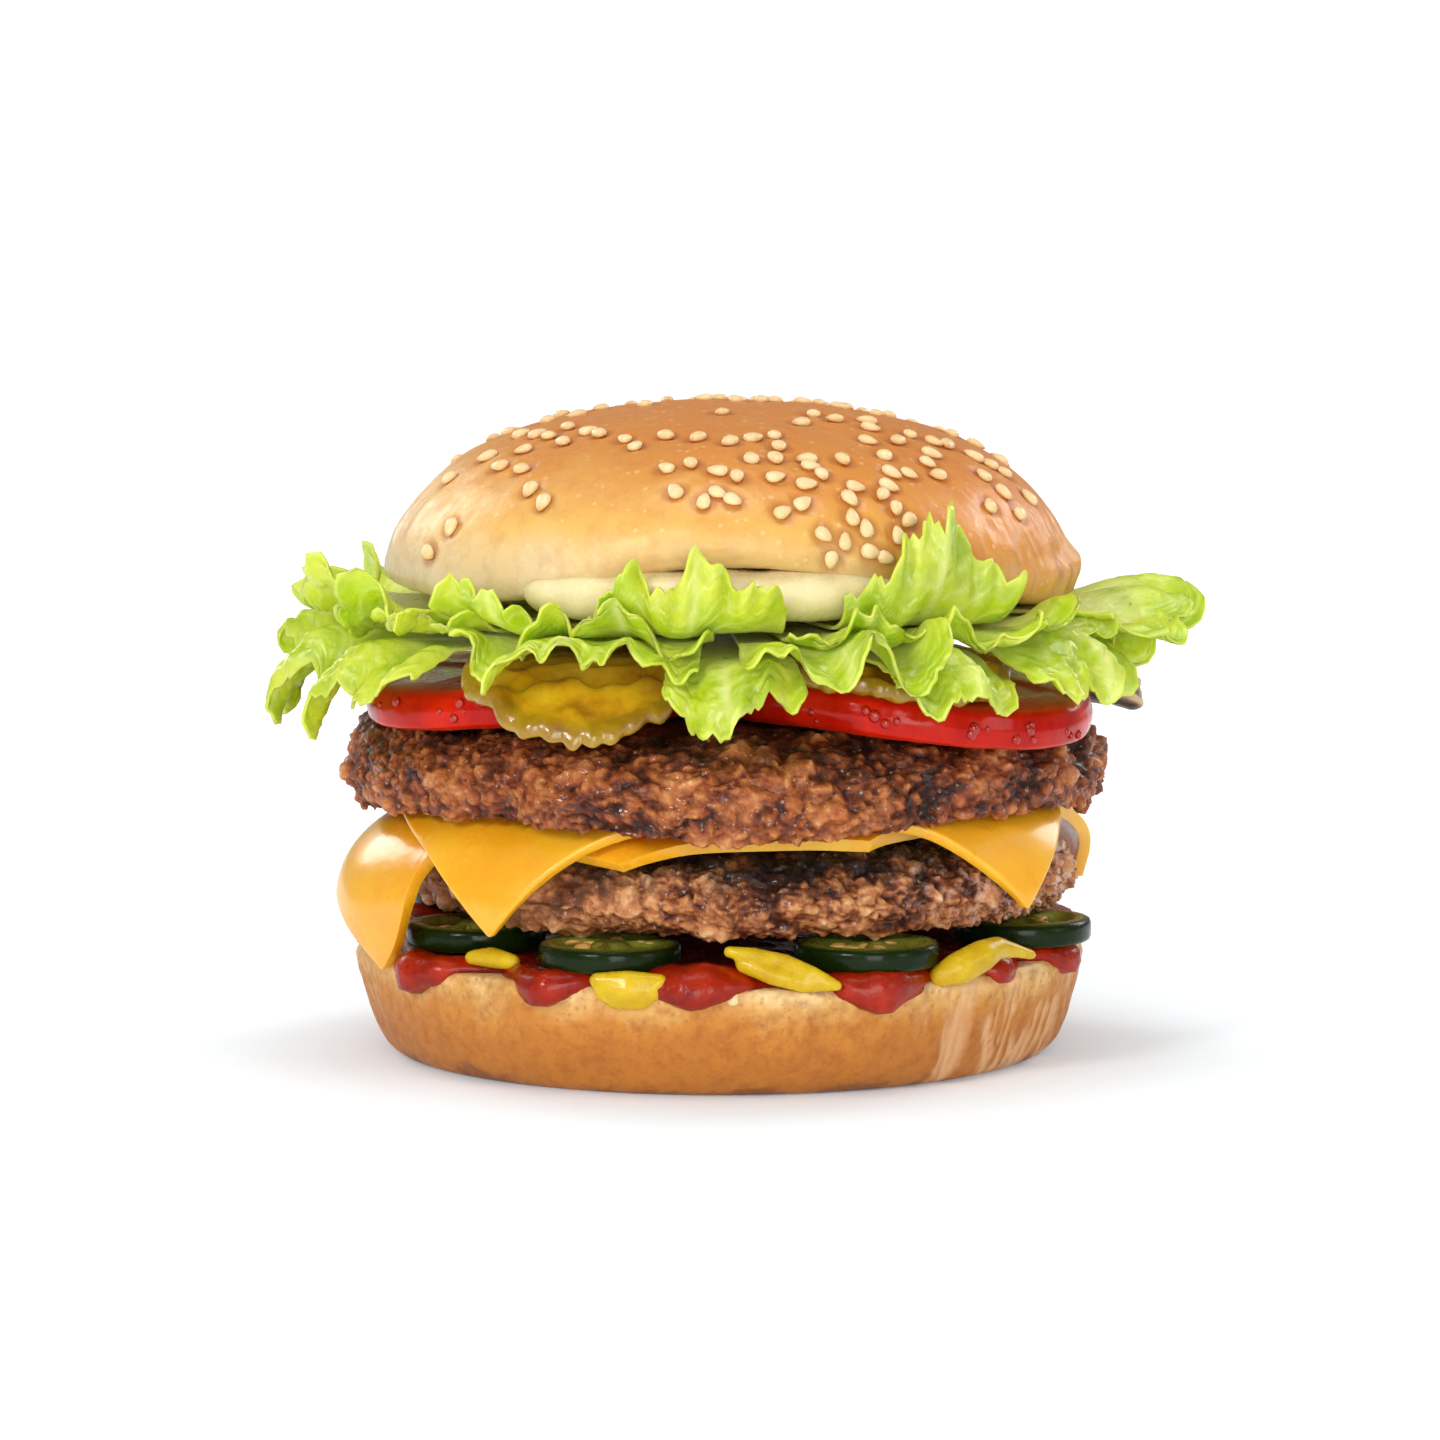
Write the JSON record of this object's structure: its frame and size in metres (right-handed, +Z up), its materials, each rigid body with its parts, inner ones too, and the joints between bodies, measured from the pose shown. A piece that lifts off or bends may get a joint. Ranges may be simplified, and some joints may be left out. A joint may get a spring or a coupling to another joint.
{
  "type": "double cheeseburger",
  "caption": "Double cheeseburger in a sesame bun, with cheese draped over the lower patty, tomato, pickle and ruffled lettuce under the bun, and sauces and green chilli on the bottom bun.",
  "frame": {"origin": "centre of the bottom bun's flat underside", "axes": "+Z up, -Y to the front that the picture shows, +X to the right seen from the front"},
  "size_m": [0.1255, 0.1214, 0.0891],
  "materials": {
    "bun_crust": "soft baked bread crust, tan orange, paler under the rim",
    "sesame_crust": "golden baked crust, slightly glossy on top, with cream sesame seeds",
    "ketchup": "glossy dark red tomato sauce",
    "mustard": "glossy yellow mustard",
    "chilli": "dark green glossy skin with pale green flesh",
    "grilled_beef": "coarse minced beef, browned and moist, charred at the top edge",
    "cheese": "smooth melted processed cheese, golden yellow",
    "tomato": "wet red skin with paler cut faces",
    "pickle": "translucent yellow olive, crinkle cut",
    "grilled_onion": "grey brown, streaked",
    "lettuce": "thin bright yellow green leaf, ruffled, with paler veins",
    "mayonnaise": "smooth cream white sauce"
  },
  "bodies": {
    "root": {"heel": "bun_crust", "ketchup": "ketchup", "mustard_front_left": "mustard", "mustard_front": "mustard", "mustard_front_right": "mustard", "mustard_back": "mustard", "chilli_1": "chilli", "chilli_2": "chilli", "chilli_3": "chilli", "chilli_4": "chilli", "chilli_5": "chilli", "chilli_6": "chilli", "chilli_7": "chilli", "patty_lower": "grilled_beef", "cheese_lower": "cheese", "cheese_upper": "cheese", "patty_upper": "grilled_beef", "tomato_left": "tomato", "tomato_right": "tomato", "tomato_back": "tomato", "pickle_left": "pickle", "pickle_right": "pickle", "pickle_back": "pickle", "onion": "grilled_onion", "lettuce_left": "lettuce", "lettuce_left_upper": "lettuce", "lettuce_front_left_frill": "lettuce", "lettuce_front_left": "lettuce", "lettuce_front_collar": "lettuce", "lettuce_front_lobe": "lettuce", "lettuce_front_right": "lettuce", "lettuce_upright": "lettuce", "lettuce_right_lobe": "lettuce", "lettuce_right": "lettuce", "lettuce_far_right": "lettuce", "lettuce_back_right": "lettuce", "lettuce_back_right_upper": "lettuce", "lettuce_back": "lettuce", "lettuce_back_lobe": "lettuce", "lettuce_back_left_upper": "lettuce", "mayonnaise": "mayonnaise", "crown": "sesame_crust"}
  },
  "joints": []
}
